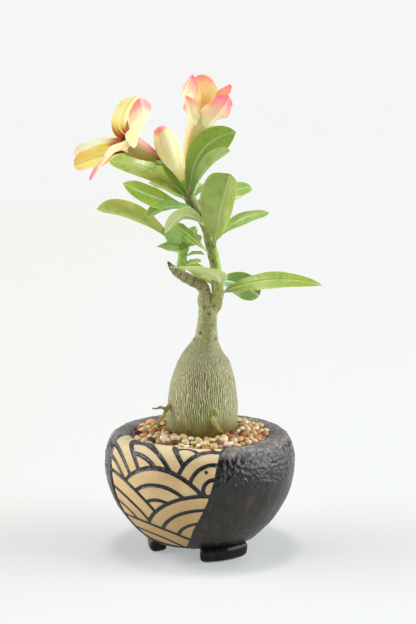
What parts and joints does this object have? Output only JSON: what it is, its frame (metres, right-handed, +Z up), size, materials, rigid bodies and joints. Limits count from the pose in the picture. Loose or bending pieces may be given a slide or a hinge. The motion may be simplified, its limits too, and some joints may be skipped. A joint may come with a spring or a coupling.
{
  "type": "potted desert rose",
  "caption": "Flowering desert rose with a swollen trunk, leafy stems and trumpet blooms, growing in a round footed stoneware bowl topped with pebbles.",
  "frame": {"origin": "on the bowl's vertical axis, on the surface that its feet stand on, which is the bottom centre of the whole object's box", "axes": "+Z up, along the bowl's axis and the plant's height; -Y is the front, with the carved panel and the open bloom; +X is to the right seen from the front"},
  "size_m": [0.1552, 0.119, 0.2962],
  "materials": {
    "glazed_stoneware": "dark brown-black pebbled glaze, with one carved panel of bare cream clay",
    "potting_soil": "loose dark soil",
    "pebbles": "mixed cream, tan, peach and red-brown pebbles, satin",
    "caudex_bark": "grey-green wrinkled bark, satin",
    "leaf": "smooth green leaf, semi-gloss",
    "petal": "thin yellow petal with a pink edge, matte"
  },
  "bodies": {
    "root": {"pot": "glazed_stoneware", "soil": "potting_soil", "gravel": "pebbles", "caudex": "caudex_bark", "main_shoot": "leaf", "left_shoot": "leaf", "open_bloom": "petal", "top_bloom": "petal", "bud": "petal"}
  },
  "joints": []
}
